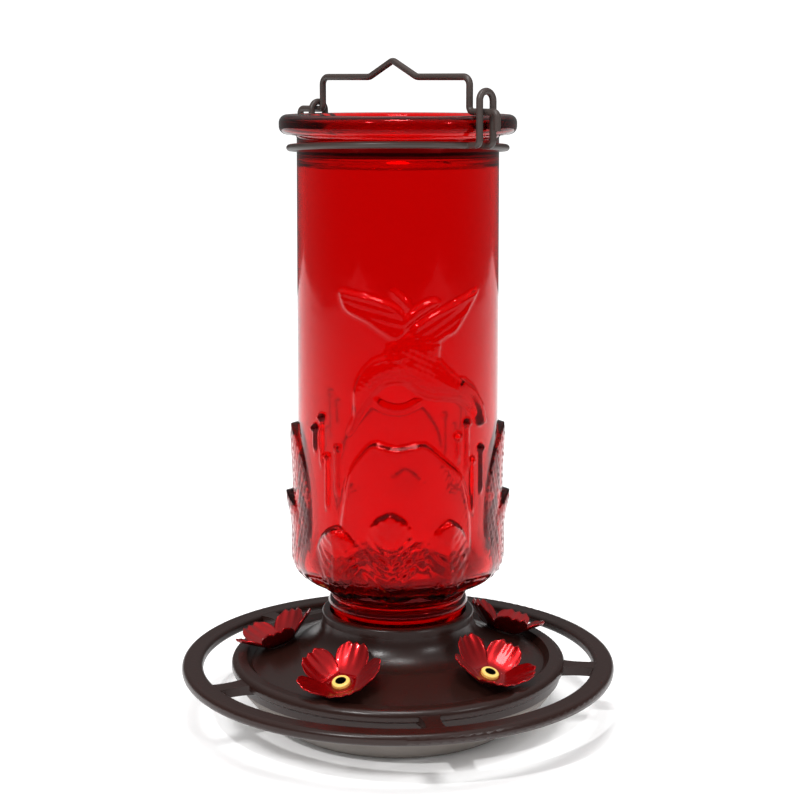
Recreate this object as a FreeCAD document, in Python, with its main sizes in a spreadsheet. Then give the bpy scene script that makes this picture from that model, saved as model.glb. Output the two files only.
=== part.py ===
import FreeCAD, Part
import math
import os
import re
import Sketcher

# Hanging nectar feeder: an inverted glass bottle screws into a domed base cover
# with a perch ring and five flower ports, and a shallow tray screws in below.
# Millimetres, +Z up, origin at the middle of the tray's flat foot.

SIZES = {
    # tray
    "tray_foot_radius": 47.6,
    "tray_floor": 2.0,
    "tray_wall": 2.2,
    "tray_wall_radius": 64.8,
    "tray_ledge_width": 1.2,
    "tray_ledge_height": 18.6,
    "tray_ledge_edge": 1.2,
    "tray_height": 23.2,
    "tray_side_bow": 60.0,
    "tray_foot_round": 2.5,
    "tray_gasket_thickness": 1.8,
    "gasket_gap": 0.1,
    # cover
    "cover_wall": 2.0,
    "thread_gap": 0.4,
    "skirt_gap": 0.4,
    "rim_overhang": 1.8,
    "rim_crown": 2.2,
    "rim_band_width": 8.5,
    "rim_round": 2.6,
    "rim_lip_height": 2.8,
    "valley_depth": 2.3,
    "dome_foot_width": 18.8,
    "dome_rise": 7.0,
    "flank_bow": 12.0,
    "socket_wall": 3.0,
    "socket_floor": 2.2,
    "socket_depth": 12.3,
    "socket_gap": 1.8,
    "socket_draft": 0.3,
    "ledge_overlap": 1.5,
    "lip_straight": 3.6,
    "lip_round": 1.0,
    # perch
    "perch_gap": 11.6,
    "perch_width": 8.8,
    "perch_height": 4.8,
    "perch_round": 2.1,
    "perch_middle": 23.5,
    "arm_width": 6.4,
    "arm_root_width": 10.4,
    "arm_height": 3.8,
    "arm_count": 5,
    "first_arm_angle": -80.0,
    # ports and flowers
    "port_reach": 50.2,
    "first_port_angle": -116.0,
    "port_hole": 4.0,
    "port_rim": 7.3,
    "port_rim_height": 1.4,
    "port_tube": 5.8,
    "port_length": 9.5,
    "port_gap": 0.15,
    "port_catch": 0.4,
    "seat_radius": 6.8,
    "seat_rise": 0.4,
    "flower_radius": 17.0,
    "flower_rise": 8.0,
    "flower_middle": 6.0,
    "flower_sheet": 0.8,
    "petal_bow": 22.0,
    "petal_count": 5,
    "notch_start": 6.8,
    "notch_half_width": 5.0,
    "notch_bow": 17.0,
    # bottle
    "mouth_radius": 23.0,
    "finish_radius": 26.5,
    "finish_height": 11.6,
    "neck_radius": 27.0,
    "neck_bead": 1.8,
    "neck_bead_height": 5.6,
    "neck_ring": 1.2,
    "neck_ring_height": 2.8,
    "neck_height": 24.9,
    "neck_gasket_thickness": 1.8,
    "shoulder_round": 10.0,
    "body_radius": 41.0,
    "body_taper": 0.6,
    "glass": 3.0,
    "bottle_height": 213.6,
    "flange_overhang": 7.1,
    "flange_thickness": 7.8,
    "flange_round": 3.2,
    "flange_under_round": 1.5,
    "flange_wall": 11.0,
    "recess_depth": 10.5,
    "end_glass": 10.0,
    "inner_round": 7.0,
    # relief on the glass, heights counted from the bottle's shoulder
    "relief_root": 0.7,
    "upper_leaf_count": 4,
    "upper_leaf_angle": 5.0,
    "upper_leaf_foot": 10.0,
    "upper_leaf_height": 60.0,
    "upper_leaf_foot_stand": 1.5,
    "upper_leaf_tip_stand": 2.9,
    "lower_leaf_height": 36.4,
    "lower_leaf_stand": 2.5,
    "lower_leaf_lean": 22.0,
    "lower_leaf_tip_stand": 5.0,
    "lower_leaf_half_width": 8.0,
    "side_leaf_half_width": 16.0,
    "leaf_swell": 8.0,
    "bird_angle": 8.0,
    "bird_stand": 1.3,
    "bud_radius": 1.5,
    "bud_stem": 0.9,
    # wire hanger
    "wire": 2.7,
    "collar_gap": 1.4,
    "collar_drop": 5.5,
    "collar_tilt": 3.8,
    "collar_shift": 1.0,
    "eye_gap": 0.55,
    "eye_width": 7.2,
    "eye_height": 20.3,
    "wire_bend": 2.0,
    "hanger_angle": -47.5,
    "pin_gap": 0.2,
    "pin_overhang": 8.8,
    "pin_turn_down": 7.0,
    "bail_inset": 6.0,
    "bail_slide": 3.0,
    "bail_rise": 13.2,
    "bail_bend": 3.2,
    "peak_rise": 6.5,
    "peak_foot": 14.0,
    "peak_foot_bend": 5.0,
    "peak_bend": 3.0,
}

doc = FreeCAD.newDocument("NectarFeeder")
sheet = doc.addObject("Spreadsheet::Sheet", "Sizes")
for row, (name, number) in enumerate(SIZES.items(), start=1):
    sheet.set("A%d" % row, name)
    sheet.set("B%d" % row, str(number))
    sheet.setAlias("B%d" % row, name)
doc.recompute()

# Places that several pieces share, as formulas of the sizes above.
LEDGE_RADIUS = "tray_wall_radius + tray_ledge_width"
SKIRT_INSIDE = "(tray_wall_radius + thread_gap)"
SKIRT_OUTSIDE = "(tray_wall_radius + thread_gap + cover_wall)"
SKIRT_FOOT = "tray_ledge_height + skirt_gap"
CHANNEL_ROOF = "(tray_height + tray_gasket_thickness)"
RIM_RADIUS = "(tray_wall_radius + thread_gap + cover_wall + rim_overhang)"
RIM_TOP = "(tray_height + tray_gasket_thickness + rim_crown)"
VALLEY_RADIUS = "(%s - rim_band_width)" % RIM_RADIUS
VALLEY_TOP = "(%s - valley_depth)" % RIM_TOP
DOME_RADIUS = "(%s - dome_foot_width)" % VALLEY_RADIUS
DOME_TOP = "(%s + dome_rise)" % VALLEY_TOP
PERCH_RADIUS = "(%s + perch_gap + perch_width)" % RIM_RADIUS
SOCKET_RADIUS = "(finish_radius + socket_gap)"
LIP_RADIUS = "(finish_radius + socket_gap + socket_wall)"
SOCKET_LEDGE = "(%s + socket_floor)" % DOME_TOP
LIP_TOP = "(%s + socket_depth)" % SOCKET_LEDGE
MOUTH = "(%s + neck_gasket_thickness)" % SOCKET_LEDGE
SHOULDER = "(%s + neck_height)" % MOUTH
BOTTLE_TOP = "(%s + bottle_height)" % MOUTH
FLANGE_FOOT = "(%s - flange_thickness)" % BOTTLE_TOP
SHOULDER_ROUND = "min(shoulder_round; 0.9 * (body_radius - neck_radius))"
BODY_TOP_RADIUS = "(body_radius - body_taper)"
FLANGE_RADIUS = "(body_radius - body_taper + flange_overhang)"
RECESS_RADIUS = "(%s - flange_wall)" % FLANGE_RADIUS
EYE_REACH = "(%s + eye_gap + wire / 2)" % FLANGE_RADIUS


def bound(formula):
    """The formula with each size name pointing into the sheet."""
    def in_sheet(match):
        word = match.group(0)
        return "Sizes." + word if word in SIZES else word
    return re.sub(r"[a-z_]+", in_sheet, formula)


def value(formula):
    """The number that a formula of sizes gives."""
    return float(sheet.evalExpression(formula))


def bind(item, prop, formula):
    """Tie a property of a feature to a formula of sizes."""
    item.setExpression(prop, bound(formula))


def origin_part(body, role):
    """A plane or axis of the body's own origin."""
    return next(item for item in body.Origin.OriginFeatures if item.Role == role)


def new_body(label):
    body = doc.addObject("PartDesign::Body", label)
    body.Label = label
    return body


def arc_between(start, end, radius, turn):
    """Circular arc from start to end; turn is 1 to the left and -1 to the right."""
    chord = end - start
    half = chord.Length / 2
    across = FreeCAD.Vector(-chord.y, chord.x, 0).normalize()
    reach = math.sqrt(radius * radius - half * half)
    middle = (start + end) * 0.5 + across * (turn * reach)
    first, last = (start, end) if turn > 0 else (end, start)
    angles = [math.atan2(p.y - middle.y, p.x - middle.x) for p in (first, last)]
    circle = Part.Circle(middle, FreeCAD.Vector(0, 0, 1), radius)
    return Part.ArcOfCircle(circle, angles[0], angles[1])


def bulge(height, depth):
    """Radius of an arc of the given height that swells by the given depth."""
    return "(({0} / 2)^2 + ({1})^2) / (2 * {1})".format(height, depth)


def pin(sketch, kind, geometry, point, formula):
    """Hold one coordinate of a sketch point at a formula of sizes."""
    number = sketch.addConstraint(
        Sketcher.Constraint(kind, -1, 1, geometry, point, value(formula)))
    sketch.setExpression("Constraints[%d]" % number, bound(formula))


def outline(body, role, corners):
    """Closed sketch through corners (x, y) or, before an arc, (x, y, radius, turn)."""
    sketch = body.newObject("Sketcher::SketchObject", body.Name + "_outline")
    sketch.AttachmentSupport = (origin_part(body, role), [""])
    sketch.MapMode = "FlatFace"
    places = [FreeCAD.Vector(value(c[0]), value(c[1]), 0) for c in corners]
    ends = []
    for index, corner in enumerate(corners):
        start, end = places[index], places[(index + 1) % len(places)]
        if len(corner) == 2:
            sketch.addGeometry(Part.LineSegment(start, end))
            ends.append((1, 2))
            continue
        sketch.addGeometry(arc_between(start, end, value(corner[2]), corner[3]))
        ends.append((1, 2) if corner[3] > 0 else (2, 1))
    for index, corner in enumerate(corners):
        following = (index + 1) % len(corners)
        sketch.addConstraint(Sketcher.Constraint(
            "Coincident", index, ends[index][1], following, ends[following][0]))
        pin(sketch, "DistanceX", index, ends[index][0], corner[0])
        pin(sketch, "DistanceY", index, ends[index][0], corner[1])
        if len(corner) == 4:
            number = sketch.addConstraint(
                Sketcher.Constraint("Radius", index, value(corner[2])))
            sketch.setExpression("Constraints[%d]" % number, bound(corner[2]))
    return sketch


def turned(body, corners):
    """Solid of revolution about the body's Z axis."""
    feature = body.newObject("PartDesign::Revolution", body.Name + "_turned")
    feature.Profile = outline(body, "XZ_Plane", corners)
    feature.ReferenceAxis = (origin_part(body, "Z_Axis"), [""])
    feature.Angle = 360
    doc.recompute()
    return feature


def repeated(body, features, count):
    """Polar pattern of the features about the body's Z axis."""
    pattern = body.newObject("PartDesign::PolarPattern", body.Name + "_pattern")
    pattern.Originals = features
    pattern.Axis = (origin_part(body, "Z_Axis"), [""])
    pattern.Angle = 360
    bind(pattern, "Occurrences", count)
    body.Tip = pattern
    doc.recompute()
    return pattern


def round_rings(body, rings, radius):
    """Fillet the circular edges that lie at the given radii and heights."""
    base = body.Tip
    wanted = [(value(ring), value(height)) for ring, height in rings]
    names = []
    for number, edge in enumerate(base.Shape.Edges, start=1):
        curve = edge.Curve
        if not isinstance(curve, Part.Circle):
            continue
        for ring, height in wanted:
            if abs(curve.Radius - ring) < 1e-3 and abs(curve.Center.z - height) < 1e-3:
                names.append("Edge%d" % number)
    fillet = body.newObject("PartDesign::Fillet", body.Name + "_rounding")
    fillet.Base = (base, names)
    bind(fillet, "Radius", radius)
    doc.recompute()


def port_place(angle, above):
    """Frame on a port's axis, square to the dome and a distance above the flower's seat."""
    spin = FreeCAD.Rotation(FreeCAD.Vector(0, 0, 1), angle)
    slope = math.degrees(math.atan(value("dome_rise / dome_foot_width")))
    lean = FreeCAD.Rotation(FreeCAD.Vector(0, 1, 0), slope)
    reach = value("port_reach")
    on_dome = "%s + (%s - port_reach) * dome_rise / dome_foot_width"
    height = value(on_dome % (VALLEY_TOP, VALLEY_RADIUS)) + value("seat_rise")
    turn = spin.multiply(lean)
    seat = spin.multVec(FreeCAD.Vector(reach, 0, height))
    return FreeCAD.Placement(seat + turn.multVec(FreeCAD.Vector(0, 0, above)), turn)


def port_cylinder(body, kind, radius, low, height):
    """Cylinder on the first port's axis, repeated at every port."""
    cylinder = body.newObject("PartDesign::" + kind, body.Name + "_at_port")
    cylinder.AttachmentSupport = (origin_part(body, "XY_Plane"), [""])
    cylinder.MapMode = "FlatFace"
    cylinder.AttachmentOffset = port_place(value("first_port_angle"), value(low))
    bind(cylinder, "Radius", radius)
    bind(cylinder, "Height", height)
    doc.recompute()
    repeated(body, [cylinder], "arm_count")


def make_tray():
    inner_radius = "(tray_wall_radius - tray_wall)"
    side_foot = "tray_ledge_height - tray_ledge_edge"
    body = new_body("base_tray")
    turned(body, [
        ("0", "0"),
        ("tray_foot_radius", "0", "tray_side_bow", 1),
        (LEDGE_RADIUS, side_foot),
        (LEDGE_RADIUS, "tray_ledge_height"),
        ("tray_wall_radius", "tray_ledge_height"),
        ("tray_wall_radius", "tray_height"),
        (inner_radius, "tray_height"),
        (inner_radius, side_foot, "tray_side_bow", -1),
        ("tray_foot_radius - tray_floor / 2", "tray_floor"),
        ("0", "tray_floor"),
    ])
    round_rings(body, [("tray_foot_radius", "0")], "tray_foot_round")
    return body


def make_ring(label, inner, outer, low, high):
    """Flat rubber ring."""
    body = new_body(label)
    turned(body, [(inner, low), (outer, low), (outer, high), (inner, high)])
    return body


def add_arms(body):
    """Perch arms, wider where they meet the rim and the ring."""
    inner = SKIRT_INSIDE + " + cover_wall / 2"
    outer = PERCH_RADIUS + " - perch_width / 2"
    flare = "(arm_root_width - arm_width) / 2"
    bow = bulge("(%s - (%s))" % (outer, inner), flare)
    sketch = outline(body, "XY_Plane", [
        (inner, "-arm_root_width / 2", bow, -1),
        (outer, "-arm_root_width / 2"),
        (outer, "arm_root_width / 2", bow, -1),
        (inner, "arm_root_width / 2"),
    ])
    lift = value("perch_middle - arm_height / 2")
    turn = FreeCAD.Rotation(FreeCAD.Vector(0, 0, 1), value("first_arm_angle"))
    sketch.AttachmentOffset = FreeCAD.Placement(FreeCAD.Vector(0, 0, lift), turn)
    arm = body.newObject("PartDesign::Pad", "Arm")
    arm.Profile = sketch
    bind(arm, "Length", "arm_height")
    doc.recompute()
    repeated(body, [arm], "arm_count")


def add_perch(body):
    inside = "(%s - perch_width)" % PERCH_RADIUS
    low = "(perch_middle - perch_height / 2)"
    high = "(perch_middle + perch_height / 2)"
    turned(body, [
        (inside + " + perch_round", low),
        (PERCH_RADIUS + " - perch_round", low, "perch_round", 1),
        (PERCH_RADIUS, low + " + perch_round"),
        (PERCH_RADIUS, high + " - perch_round", "perch_round", 1),
        (PERCH_RADIUS + " - perch_round", high),
        (inside + " + perch_round", high, "perch_round", 1),
        (inside, high + " - perch_round"),
        (inside, low + " + perch_round", "perch_round", 1),
    ])


def make_cover():
    channel = "(tray_wall_radius - tray_wall - thread_gap)"
    band_start = VALLEY_RADIUS + " + valley_depth"
    socket_foot = SOCKET_LEDGE + " - socket_floor"
    hollow = "(%s - socket_draft)" % LIP_RADIUS
    opening = "(mouth_radius - ledge_overlap)"
    body = new_body("base_cover")
    turned(body, [
        (SOCKET_RADIUS, SOCKET_LEDGE),
        (SOCKET_RADIUS, LIP_TOP),
        (LIP_RADIUS + " - lip_round", LIP_TOP, "lip_round", -1),
        (LIP_RADIUS, LIP_TOP + " - lip_round"),
        (LIP_RADIUS, LIP_TOP + " - lip_straight", "flank_bow", 1),
        (DOME_RADIUS, DOME_TOP),
        (VALLEY_RADIUS, VALLEY_TOP),
        (band_start, RIM_TOP),
        (RIM_RADIUS + " - rim_round", RIM_TOP, "rim_round", -1),
        (RIM_RADIUS, RIM_TOP + " - rim_round"),
        (RIM_RADIUS, RIM_TOP + " - rim_round - rim_lip_height / 2"),
        (SKIRT_OUTSIDE, RIM_TOP + " - rim_round - rim_lip_height"),
        (SKIRT_OUTSIDE, SKIRT_FOOT),
        (SKIRT_INSIDE, SKIRT_FOOT),
        (SKIRT_INSIDE, CHANNEL_ROOF),
        (channel, CHANNEL_ROOF),
        (channel, VALLEY_TOP + " - cover_wall"),
        (VALLEY_RADIUS + " - socket_draft", VALLEY_TOP + " - cover_wall"),
        (DOME_RADIUS + " - socket_draft", DOME_TOP + " - cover_wall", "flank_bow", -1),
        (hollow, LIP_TOP + " - lip_straight - 2.5 * cover_wall"),
        (hollow, socket_foot),
        (opening, socket_foot),
        (opening, SOCKET_LEDGE),
    ])
    add_arms(body)
    add_perch(body)
    port_cylinder(body, "AdditiveCylinder", "seat_radius", "-cover_wall", "cover_wall")
    port_cylinder(body, "SubtractiveCylinder", "port_tube / 2 + port_gap",
                  "-2 * cover_wall", "3 * cover_wall")
    return body


def make_port(number, angle):
    """Yellow feeding port: a rim, a tube through the cover and a catch below it."""
    tube = "port_tube / 2"
    catch = "port_rim_height + flower_sheet + 1.4 * cover_wall"
    body = new_body("port_%d" % number)
    turned(body, [
        ("port_hole / 2", "-port_length"),
        (tube, "-port_length"),
        (tube, "-(%s) - 3 * port_catch" % catch),
        (tube + " + port_catch", "-(%s)" % catch),
        (tube, "-(%s)" % catch),
        (tube, "-port_rim_height"),
        ("port_rim / 2", "-port_rim_height"),
        ("port_rim / 2", "-port_rim_height / 2", "port_rim_height / 2", 1),
        ("port_rim / 2 - port_rim_height / 2", "0"),
        ("port_hole / 2", "0"),
    ])
    body.Placement = port_place(angle, value("flower_sheet + port_rim_height"))
    return body


def add_notches(body):
    """Gaps between the petals."""
    far = "(flower_radius + 2)"
    sketch = outline(body, "XY_Plane", [
        ("notch_start", "0", "notch_bow", 1),
        (far, "notch_half_width"),
        (far + " + 3", "0"),
        (far, "-notch_half_width", "notch_bow", 1),
    ])
    notch = body.newObject("PartDesign::Pocket", "Notch")
    notch.Profile = sketch
    notch.Midplane = True
    bind(notch, "Length", "4 * flower_rise")
    doc.recompute()
    repeated(body, [notch], "petal_count")


def make_flower(number, angle):
    """Five-petalled sheet flower that the port's rim holds on its seat."""
    hole = "port_tube / 2 + port_gap"
    body = new_body("flower_%d" % number)
    turned(body, [
        (hole, "0"),
        ("flower_middle", "0", "petal_bow", 1),
        ("flower_radius", "flower_rise"),
        ("flower_radius - flower_sheet / 2", "flower_rise + flower_sheet", "petal_bow", -1),
        ("flower_middle - flower_sheet / 3", "flower_sheet"),
        (hole, "flower_sheet"),
    ])
    add_notches(body)
    body.Placement = port_place(angle, 0)
    return body


def make_bottle():
    finish_top = "(%s + finish_height)" % MOUTH
    bead_top = "(%s + finish_height + neck_bead_height)" % MOUTH
    ring_top = "(%s + finish_height + neck_bead_height + neck_ring_height)" % MOUTH
    recess_floor = "(%s - recess_depth)" % BOTTLE_TOP
    ceiling = "(%s - recess_depth - end_glass)" % BOTTLE_TOP
    inner_low = "(body_radius - glass)"
    inner_top = "(%s - glass)" % BODY_TOP_RADIUS
    body = new_body("bottle_blank")
    turned(body, [
        ("mouth_radius", MOUTH),
        ("finish_radius", MOUTH),
        ("finish_radius", finish_top),
        ("neck_radius", finish_top, bulge("neck_bead_height", "neck_bead"), 1),
        ("neck_radius", bead_top, bulge("neck_ring_height", "neck_ring"), 1),
        ("neck_radius", ring_top),
        ("neck_radius", SHOULDER),
        ("body_radius", SHOULDER),
        (BODY_TOP_RADIUS, FLANGE_FOOT),
        (FLANGE_RADIUS, FLANGE_FOOT),
        (FLANGE_RADIUS, BOTTLE_TOP),
        (RECESS_RADIUS, BOTTLE_TOP),
        (RECESS_RADIUS + " - recess_depth / 3", recess_floor),
        ("0", recess_floor),
        ("0", ceiling),
        (inner_top, ceiling),
        (inner_low, SHOULDER + " + glass"),
        ("mouth_radius", SHOULDER + " + glass"),
    ])
    round_rings(body, [("body_radius", SHOULDER)], SHOULDER_ROUND)
    round_rings(body, [(inner_low, SHOULDER + " + glass"), (inner_top, ceiling)],
                "inner_round")
    round_rings(body, [(FLANGE_RADIUS, BOTTLE_TOP), (FLANGE_RADIUS, FLANGE_FOOT)],
                "flange_round")
    round_rings(body, [(BODY_TOP_RADIUS, FLANGE_FOOT), (RECESS_RADIUS, BOTTLE_TOP)],
                "flange_under_round")
    bottle = doc.addObject("Part::Feature", "bottle")
    bottle.Label = "bottle"
    relief = upper_leaves() + lower_leaves() + bird()
    bottle.Shape = body.Shape.fuse(relief)
    return bottle


# Outlines on the unrolled glass: across from the middle of each, and above the shoulder.
UPPER_LEAF = [(-25, 10), (-27, 26), (-25.5, 40), (-21.5, 51), (-14, 62.5), (-3, 61),
              (8.5, 63), (21.5, 51), (25.5, 40), (27, 26), (25, 10)]
BIRD_BODY = [(-24.5, 67), (-19.5, 76), (-13, 85), (-8, 87), (-2, 87), (4, 81), (12, 79),
             (20.5, 78), (25, 74), (29, 67.5), (31, 71), (28, 79), (22, 86), (13, 92),
             (11, 100), (6, 103), (-6, 103), (-13, 98), (-18.5, 92), (-22, 84), (-22, 76)]
LEFT_WING = [(-27.5, 122.5), (-25.5, 115), (-19.5, 110), (-10.5, 104.5), (-4, 102),
             (-2, 110), (-4.5, 116), (-11.5, 119.5)]
RIGHT_WING = [(-4, 111), (0, 102), (13, 103.5), (17, 106), (21, 109), (26, 114.5),
              (28.5, 122), (14, 121), (7, 119), (1, 115)]
LOWER_LEAF_ANGLES = [-40, -5, 30, 140, 175, 210]
SIDE_LEAF_ANGLES = [-88, 90]
# Buds in the gaps between the upper leaves: angle from the gap, foot and top of the stem.
BUDS = [(-12, 57, 66), (-4, 54, 70), (5, 41, 57), (10, 38, 59)]


def at_height(radius, height):
    """Point in the XZ plane, its height counted from the shoulder."""
    return FreeCAD.Vector(radius, 0, value(SHOULDER) + height)


def glass_radius(height):
    """Outside radius of the bottle's body at a height above the shoulder."""
    taper = value("body_taper") / value("%s - %s" % (FLANGE_FOOT, SHOULDER))
    return value("body_radius") - taper * height


def ring_of(wire):
    """Solid ring turned from a closed outline in the XZ plane."""
    return Part.Face(wire).revolve(FreeCAD.Vector(0, 0, 0), FreeCAD.Vector(0, 0, 1), 360)


def relief_band(foot, tip, foot_stand, tip_stand):
    """Ring on the glass that stands out further towards its top."""
    root = value("relief_root")
    corners = [at_height(glass_radius(height) + out, height) for height, out in
               ((foot, -root), (foot, foot_stand), (tip, tip_stand), (tip, -root))]
    return ring_of(Part.makePolygon(corners + corners[:1]))


def shoulder_band():
    """Ring that wraps the shoulder, follows the glass and leans out at its top."""
    bend = value(SHOULDER_ROUND)
    axis = value("body_radius") - bend
    root, stand = value("relief_root"), value("lower_leaf_stand")
    lean, top = value("lower_leaf_lean"), value("lower_leaf_height")
    slant = math.sqrt(0.5)
    outer, inner = bend + stand, bend - root
    foot = at_height(axis, -stand)
    side = at_height(axis + outer, bend)
    leaning = at_height(glass_radius(lean) + stand, lean)
    tip = at_height(glass_radius(top) + value("lower_leaf_tip_stand"), top)
    tip_root = at_height(glass_radius(top) - root, top)
    inner_side = at_height(axis + inner, bend)
    inner_foot = at_height(axis, root)
    outer_middle = at_height(axis + outer * slant, bend - outer * slant)
    inner_middle = at_height(axis + inner * slant, bend - inner * slant)
    return ring_of(Part.Wire([
        Part.Arc(foot, outer_middle, side).toShape(),
        Part.makePolygon([side, leaning, tip, tip_root, inner_side]),
        Part.Arc(inner_side, inner_middle, inner_foot).toShape(),
        Part.LineSegment(inner_foot, foot).toShape(),
    ]))


def pressed(band, wire, angle):
    """The part of the band that lies in front of an outline, turned to its angle."""
    depth = value("2 * body_radius")
    block = Part.Face(wire).extrude(FreeCAD.Vector(0, -depth, 0))
    shape = band.common(block)
    shape.rotate(FreeCAD.Vector(0, 0, 0), FreeCAD.Vector(0, 0, 1), angle)
    return shape


def flat_outline(points):
    corners = [at_height(x, height) for x, height in points]
    return Part.makePolygon(corners + corners[:1])


def leaf_outline(half):
    """Pointed leaf from below the shoulder: a straight foot and two bowed sides."""
    foot, height = -value("shoulder_round / 2"), value("lower_leaf_height")
    left, right, tip = at_height(-half, foot), at_height(half, foot), at_height(0, height)
    out = FreeCAD.Vector(height - foot, 0, half).normalize() * value("leaf_swell")
    mirrored = FreeCAD.Vector(-out.x, 0, out.z)
    return Part.Wire([
        Part.LineSegment(left, right).toShape(),
        Part.Arc(right, (right + tip) * 0.5 + out, tip).toShape(),
        Part.Arc(tip, (left + tip) * 0.5 + mirrored, left).toShape(),
    ])


def bud(angle, low, high):
    """Stem along the glass with a round bud at its top."""
    out = FreeCAD.Vector(0, -value("body_radius"), 0)
    stem = Part.makeCylinder(value("bud_stem"), high - low, at_height(0, low) + out)
    shape = stem.fuse(Part.makeSphere(value("bud_radius"), at_height(0, high) + out))
    shape.rotate(FreeCAD.Vector(0, 0, 0), FreeCAD.Vector(0, 0, 1), angle)
    return shape


def upper_leaves():
    """Broad leaves side by side around the glass, with buds between them."""
    foot = value("upper_leaf_foot")
    band = relief_band(foot, foot + value("upper_leaf_height"),
                       value("upper_leaf_foot_stand"), value("upper_leaf_tip_stand"))
    count = round(value("upper_leaf_count"))
    pieces = []
    for number in range(count):
        angle = value("upper_leaf_angle") + 360 * number / count
        pieces.append(pressed(band, flat_outline(UPPER_LEAF), angle))
        gap = angle + 180 / count
        pieces += [bud(gap + turn, low, high) for turn, low, high in BUDS]
    return pieces


def lower_leaves():
    """Pointed leaves that stand out from the shoulder, two of them broad."""
    band = shoulder_band()
    small = leaf_outline(value("lower_leaf_half_width"))
    broad = leaf_outline(value("side_leaf_half_width"))
    return ([pressed(band, small, angle) for angle in LOWER_LEAF_ANGLES]
            + [pressed(band, broad, angle) for angle in SIDE_LEAF_ANGLES])


def bird():
    """Hovering bird seen from the side, its wings spread."""
    outlines = (BIRD_BODY, LEFT_WING, RIGHT_WING)
    heights = [height for points in outlines for x, height in points]
    stand = value("bird_stand")
    band = relief_band(min(heights), max(heights), stand, stand)
    return [pressed(band, flat_outline(points), value("bird_angle")) for points in outlines]


def bent_path(points, bends):
    """Edges of a path of straight runs joined by tangent arcs, one radius a corner."""
    edges = []
    start = points[0]
    for before, corner, after, bend in zip(points, points[1:], points[2:], bends):
        come = (corner - before).normalize()
        leave = (after - corner).normalize()
        turn = come.getAngle(leave)
        cut = bend * math.tan(turn / 2)
        first, last = corner - come * cut, corner + leave * cut
        inward = (leave - come).normalize()
        middle = corner + inward * (bend / math.cos(turn / 2) - bend)
        edges.append(Part.LineSegment(start, first).toShape())
        edges.append(Part.Arc(first, middle, last).toShape())
        start = last
    edges.append(Part.LineSegment(start, points[-1]).toShape())
    return edges


def rod_along(edges, start, direction):
    """Round wire swept along joined edges."""
    section = Part.Wire(Part.Circle(start, direction, value("wire / 2")).toShape())
    return Part.Wire(edges).makePipeShell([section], True, False)


def wire_feature(label, shape, place):
    """Bent wire; its shape follows a path in space that no flat sketch holds."""
    feature = doc.addObject("Part::Feature", label)
    feature.Label = label
    feature.Shape = shape
    feature.Placement = place
    return feature


def half_collar():
    """Half of the collar: a quarter ring, an eye and another quarter ring."""
    ring = value(BODY_TOP_RADIUS + " + collar_gap + wire / 2")
    half = value("eye_width / 2")
    bend = value("wire_bend")
    reach = value(EYE_REACH)
    height = value("eye_height") - half
    point = FreeCAD.Vector
    center_y = half + bend
    center_x = math.sqrt((ring + bend) ** 2 - center_y ** 2)
    scale = ring / (ring + bend)
    leave = point(center_x * scale, center_y * scale, 0)
    outward = point(center_x, half, 0)
    blend = point(center_x, center_y, 0) - point(1, 1, 0).normalize() * bend
    slant = math.atan2(leave.y, leave.x)
    quarter = [point(ring * math.cos(a), ring * math.sin(a), 0)
               for a in (math.pi / 2, (math.pi / 2 + slant) / 2)]
    up = point(reach, half, bend)
    corner = point(reach - bend, half, 0)
    elbow = point(reach - bend, half, bend) + point(1, 0, -1).normalize() * bend
    edges = [
        Part.Arc(quarter[0], quarter[1], leave).toShape(),
        Part.Arc(leave, blend, outward).toShape(),
        Part.LineSegment(outward, corner).toShape(),
        Part.Arc(corner, elbow, up).toShape(),
        Part.LineSegment(up, point(reach, half, height)).toShape(),
        Part.Arc(point(reach, half, height), point(reach, 0, height + half),
                 point(reach, -half, height)).toShape(),
    ]
    mirror = [edge.mirror(point(0, 0, 0), point(0, 1, 0)) for edge in edges[:-1]]
    return rod_along(edges + mirror[::-1], quarter[0], point(1, 0, 0))


def make_collar():
    """Wire ring under the bottle's flange with two tall eyes for the bail."""
    first = half_collar()
    second = first.copy()
    second.rotate(FreeCAD.Vector(0, 0, 0), FreeCAD.Vector(0, 0, 1), 180)
    spin = FreeCAD.Rotation(FreeCAD.Vector(0, 0, 1), value("hanger_angle"))
    tilt = FreeCAD.Rotation(FreeCAD.Vector(1, 0, 0), -value("collar_tilt"))
    height = value(FLANGE_FOOT + " - collar_drop")
    middle = FreeCAD.Vector(0, -value("collar_shift"), height)
    place = FreeCAD.Placement(middle, tilt.multiply(spin))
    return wire_feature("wire_collar", first.fuse(second).removeSplitter(), place)


def make_bail():
    """Wire handle with a raised peak; its turned-down pins pass through the eyes."""
    pin_reach = value(EYE_REACH + " + pin_overhang")
    side = value(EYE_REACH + " - bail_inset")
    rise = value("bail_rise")
    down = value("pin_turn_down")
    foot = value("peak_foot")
    peak = rise + value("peak_rise")
    right = [(pin_reach, -down), (pin_reach, 0), (side, 0), (side, rise), (foot, rise)]
    left = [(-x, z) for x, z in right[::-1]]
    points = [FreeCAD.Vector(x, 0, z) for x, z in right + [(0, peak)] + left]
    names = ["wire_bend", "wire_bend", "bail_bend", "peak_foot_bend"]
    bends = [value(name) for name in names + ["peak_bend"] + names[::-1]]
    shape = rod_along(bent_path(points, bends), points[0], FreeCAD.Vector(0, 0, 1))
    height = value(BOTTLE_TOP + " + pin_gap + wire / 2")
    spin = FreeCAD.Rotation(FreeCAD.Vector(0, 0, 1), value("hanger_angle"))
    middle = spin.multVec(FreeCAD.Vector(-value("bail_slide"), 0, height))
    place = FreeCAD.Placement(middle, spin)
    return wire_feature("hanger_bail", shape, place)


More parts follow.
